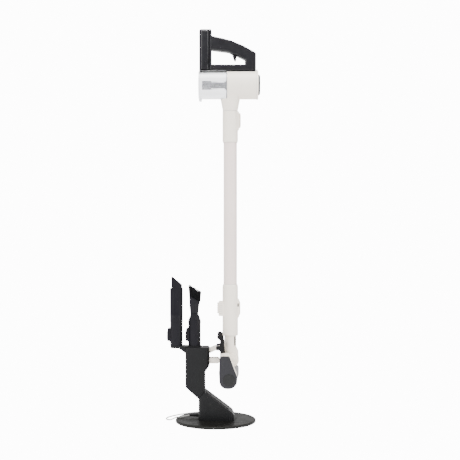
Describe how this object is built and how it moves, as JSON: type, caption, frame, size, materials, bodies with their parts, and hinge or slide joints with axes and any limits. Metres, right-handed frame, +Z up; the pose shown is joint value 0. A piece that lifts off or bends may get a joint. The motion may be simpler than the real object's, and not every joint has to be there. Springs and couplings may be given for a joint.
{
  "type": "cordless stick vacuum cleaner with charging stand",
  "caption": "Upright cordless stick vacuum hung on a round weighted charging stand with spare crevice and dusting tools on pegs; every joint, latch and trigger moves.",
  "frame": {"origin": "centre of the stand's underside, on the floor", "axes": "+Z up along the wand; +X from the tool arm towards the back of the handle; +Y along the floor head's width, away from the side the lead's exit bends from"},
  "size_m": [0.2615, 0.3242, 1.0773],
  "materials": {
    "base_coat": "satin powder coat",
    "foot_rubber": "moulded",
    "stand_plastic": "fine grained",
    "ramp_coat": "satin",
    "soft_pad": "soft matt",
    "contact_brass": "bright",
    "bare_steel": "turned",
    "lead_jacket": "smooth jacket",
    "tool_plastic": "fine grained",
    "bristle": "fibre",
    "roll_bristle": "fibre",
    "ivory_shell": "smooth satin",
    "ivory_tube": "smooth satin paint",
    "dark_plastic": "fine grained",
    "hub_black": "smooth",
    "grey_trim": "satin",
    "roll_core": "smooth",
    "handle_plastic": "fine grained",
    "clear_plastic": "polished clear",
    "mesh_grey": "satin",
    "motor_alloy": "cast"
  },
  "bodies": {
    "stand": {"base_plate": "base_coat", "base_feet": "foot_rubber", "foot_shell": "stand_plastic", "pillar_shell": "stand_plastic", "ramp_cover": "ramp_coat", "tool_arm": "stand_plastic", "dock_bracket": "ivory_shell", "dock_pad": "ivory_shell", "charge_contacts": "contact_brass", "stand_screws": "bare_steel", "cord_gland": "stand_plastic", "cord_lead": "lead_jacket", "cord_coil": "lead_jacket", "cord_tie": "soft_pad", "adapter_body": "stand_plastic", "plug_pins": "contact_brass"},
    "crevice_tool": {"crevice_tool": "tool_plastic"},
    "crevice_latch": {"crevice_latch": "tool_plastic"},
    "brush_tool": {"brush_tool": "tool_plastic", "brush_tool_bristles": "bristle"},
    "brush_tool_latch": {"brush_tool_latch": "tool_plastic"},
    "head": {"head_shell": "ivory_shell", "head_sole": "dark_plastic", "end_cap_near": "dark_plastic", "end_cap_far": "dark_plastic", "hub_covers": "hub_black", "brush_motor": "bare_steel", "drive_belt": "soft_pad", "head_contacts": "contact_brass", "head_crest": "grey_trim", "rear_yoke": "stand_plastic", "yoke_rods": "bare_steel"},
    "rear_wheels": {"rear_wheels": "foot_rubber"},
    "brush_roll": {"brush_core": "roll_core", "brush_bristles": "roll_bristle"},
    "motor_pulley": {"motor_pulley": "bare_steel"},
    "neck": {"neck_elbow": "ivory_shell", "neck_slit_trim": "hub_black"},
    "wand": {"wand_tube": "ivory_tube", "lower_collar": "ivory_shell", "upper_collar": "ivory_shell"},
    "release_pedal": {"release_pedal": "ivory_shell"},
    "lower_latch": {"lower_latch": "ivory_shell"},
    "upper_latch": {"upper_latch": "ivory_shell"},
    "hand_unit": {"motor_housing": "ivory_shell", "housing_tail": "ivory_shell", "exhaust_cover": "hub_black", "handle_frame": "handle_plastic", "cyclone_shroud": "mesh_grey", "cyclone_core": "mesh_grey", "motor_stator": "motor_alloy"},
    "trigger": {"trigger": "handle_plastic"},
    "mode_button": {"mode_button": "handle_plastic"},
    "battery": {"battery_pack": "handle_plastic", "battery_cells": "bare_steel"},
    "battery_latch": {"battery_latch": "handle_plastic"},
    "dust_cup": {"dust_cup": "clear_plastic"},
    "cup_lid": {"cup_lid": "clear_plastic"},
    "cup_release": {"cup_release": "dark_plastic"},
    "fan_rotor": {"fan_rotor": "motor_alloy"}
  },
  "joints": [
    {"name": "crevice_lift", "type": "slide", "parent": "stand", "child": "crevice_tool", "axis": [0, 0, 1], "range_m": [0, 0.12]},
    {"name": "brush_lift", "type": "slide", "parent": "stand", "child": "brush_tool", "axis": [0, 0, 1], "range_m": [0, 0.12]},
    {"name": "crevice_key_press", "type": "slide", "parent": "crevice_tool", "child": "crevice_latch", "axis": [1, 0, 0], "range_m": [0, 0.0012], "stiffness_N_per_m": 600, "springref_m": -0.001},
    {"name": "brush_key_press", "type": "slide", "parent": "brush_tool", "child": "brush_tool_latch", "axis": [1, 0, 0], "range_m": [0, 0.0012], "stiffness_N_per_m": 600, "springref_m": -0.001},
    {"name": "dock_lift", "type": "slide", "parent": "stand", "child": "head", "axis": [0, 0, 1], "range_m": [0, 0.25]},
    {"name": "roll_spin", "type": "hinge", "parent": "head", "child": "brush_roll", "pos_m": [0.0344, 0, 0.1338], "axis": [0, 1, 0], "continuous": true},
    {"name": "motor_spin", "type": "hinge", "parent": "head", "child": "motor_pulley", "pos_m": [0.028, 0, 0.1732], "axis": [0, 1, 0], "continuous": true},
    {"name": "rear_wheel_spin", "type": "hinge", "parent": "head", "child": "rear_wheels", "pos_m": [0.011, 0, 0.238], "axis": [0, 1, 0], "continuous": true},
    {"name": "head_pitch", "type": "hinge", "parent": "head", "child": "neck", "pos_m": [0.046, 0, 0.1725], "axis": [0, 1, 0], "range_deg": [0, 90]},
    {"name": "wand_twist", "type": "hinge", "parent": "neck", "child": "wand", "pos_m": [0.04, 0, 0.25], "axis": [0, 0, 1], "range_deg": [-90, 90]},
    {"name": "pedal_press", "type": "slide", "parent": "wand", "child": "release_pedal", "axis": [0, 0, -1], "range_m": [0, 0.004], "stiffness_N_per_m": 500, "springref_m": -0.002},
    {"name": "lower_key_press", "type": "slide", "parent": "wand", "child": "lower_latch", "axis": [-1, 0, 0], "range_m": [0, 0.0015], "stiffness_N_per_m": 600, "springref_m": -0.001},
    {"name": "upper_key_press", "type": "slide", "parent": "wand", "child": "upper_latch", "axis": [-1, 0, 0], "range_m": [0, 0.0015], "stiffness_N_per_m": 600, "springref_m": -0.001},
    {"name": "hand_lift", "type": "slide", "parent": "wand", "child": "hand_unit", "axis": [0, 0, 1], "range_m": [0, 0.07]},
    {"name": "trigger_pull", "type": "hinge", "parent": "hand_unit", "child": "trigger", "pos_m": [0.05, 0, 1.021], "axis": [0, 1, 0], "range_deg": [0, 12], "stiffness_Nm_per_rad": 0.15, "springref_deg": -2.86},
    {"name": "mode_press", "type": "slide", "parent": "hand_unit", "child": "mode_button", "axis": [0, 0, -1], "range_m": [0, 0.001], "stiffness_N_per_m": 600, "springref_m": -0.001},
    {"name": "battery_lift", "type": "slide", "parent": "hand_unit", "child": "battery", "axis": [0, 0, 1], "range_m": [0, 0.12]},
    {"name": "battery_key_press", "type": "slide", "parent": "battery", "child": "battery_latch", "axis": [0, 1, 0], "range_m": [0, 0.0015], "stiffness_N_per_m": 600, "springref_m": -0.001},
    {"name": "cup_draw", "type": "slide", "parent": "hand_unit", "child": "dust_cup", "axis": [-1, 0, 0], "range_m": [0, 0.09]},
    {"name": "lid_open", "type": "hinge", "parent": "dust_cup", "child": "cup_lid", "pos_m": [-0.041, 0, 0.8833], "axis": [0, -1, 0], "range_deg": [0, 85]},
    {"name": "cup_key_slide", "type": "slide", "parent": "hand_unit", "child": "cup_release", "axis": [1, 0, 0], "range_m": [0, 0.004], "stiffness_N_per_m": 250, "springref_m": -0.001},
    {"name": "fan_spin", "type": "hinge", "parent": "hand_unit", "child": "fan_rotor", "pos_m": [0.09, 0, 0.925], "axis": [1, 0, 0], "continuous": true}
  ],
  "couplings": [
    {"joint": "motor_spin", "follows": "roll_spin", "ratio": 1.8}
  ]
}
